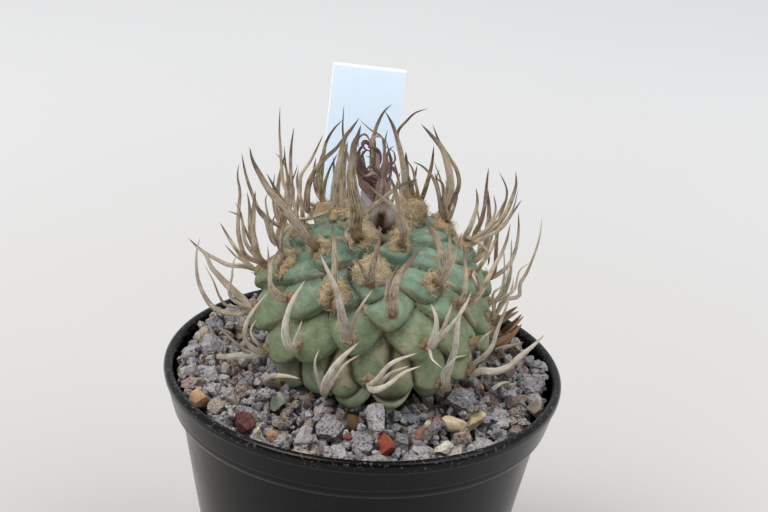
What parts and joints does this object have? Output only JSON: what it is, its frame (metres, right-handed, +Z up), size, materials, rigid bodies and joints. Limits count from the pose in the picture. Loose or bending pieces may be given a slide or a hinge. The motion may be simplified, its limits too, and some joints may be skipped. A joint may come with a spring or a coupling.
{
  "type": "potted cactus",
  "caption": "Small globular cactus with spiralled tubercles, woolly areoles and long curved papery spines, in a round plastic pot topped with grit and a blank plant label",
  "frame": {"origin": "centre of the circle that the underside of the pot stands on", "axes": "+Z up out of the pot, the pictured side of the plant faces -Y, +X to the right of it"},
  "size_m": [0.0648, 0.0648, 0.0976],
  "materials": {
    "pot_plastic": "soft matte black, a little dusty on the rim",
    "soil": "rough, dark mineral soil",
    "gravel": "rough grey lava and pumice grit",
    "stem_skin": "waxy satin, grey-green, corky and olive in the creases",
    "spines_old": "bleached, papery",
    "spines_grown": "dry, tan to grey, finely streaked",
    "spines_young": "dry, brown with dark tips",
    "wool": "matted cream-tan wool",
    "dried_flower": "shrivelled, dark purple-brown",
    "label_plastic": "smooth, satin, blank",
    "stone_tan": "rough",
    "stone_red": "rough, pitted",
    "stone_mint": "smooth",
    "stone_brick": "rough",
    "stone_cream": "smooth, matt",
    "pumice": "rough, full of small holes"
  },
  "bodies": {
    "root": {"crown_wool": "wool", "dried_flower": "dried_flower", "gravel_bed": "gravel", "plant_label": "label_plastic", "pot": "pot_plastic", "soil": "soil", "spine_cluster_13": "spines_old", "spine_cluster_14": "spines_old", "spine_cluster_16": "spines_old", "spine_cluster_19": "spines_old", "spine_cluster_21": "spines_old", "spine_cluster_24": "spines_old", "spine_cluster_26": "spines_old", "spine_cluster_27": "spines_old", "spine_cluster_29": "spines_old", "spine_cluster_30": "spines_old", "spine_cluster_32": "spines_old", "spine_cluster_34": "spines_old", "spine_cluster_35": "spines_old", "spine_cluster_37": "spines_old", "spine_cluster_38": "spines_grown", "spine_cluster_39": "spines_grown", "spine_cluster_40": "spines_grown", "spine_cluster_41": "spines_grown", "spine_cluster_42": "spines_grown", "spine_cluster_43": "spines_grown", "spine_cluster_44": "spines_grown", "spine_cluster_45": "spines_grown", "spine_cluster_46": "spines_grown", "spine_cluster_47": "spines_grown", "spine_cluster_48": "spines_grown", "spine_cluster_49": "spines_grown", "spine_cluster_50": "spines_grown", "spine_cluster_51": "spines_grown", "spine_cluster_52": "spines_grown", "spine_cluster_53": "spines_grown", "spine_cluster_54": "spines_grown", "spine_cluster_55": "spines_grown", "spine_cluster_56": "spines_grown", "spine_cluster_57": "spines_grown", "spine_cluster_58": "spines_grown", "spine_cluster_59": "spines_grown", "spine_cluster_60": "spines_grown", "spine_cluster_62": "spines_young", "spine_cluster_63": "spines_young", "spine_cluster_64": "spines_young", "spine_cluster_65": "spines_young", "spine_cluster_66": "spines_young", "stem": "stem_skin", "stone_brick_chip": "stone_brick", "stone_cream_long": "stone_cream", "stone_cream_tilted": "stone_cream", "stone_cream_wedge": "stone_cream", "stone_dark_red": "stone_red", "stone_mint_chip": "stone_mint", "stone_ochre_round": "stone_tan", "stone_pumice_front": "pumice", "stone_pumice_right": "pumice", "stone_tan_left": "stone_tan"}
  },
  "joints": []
}
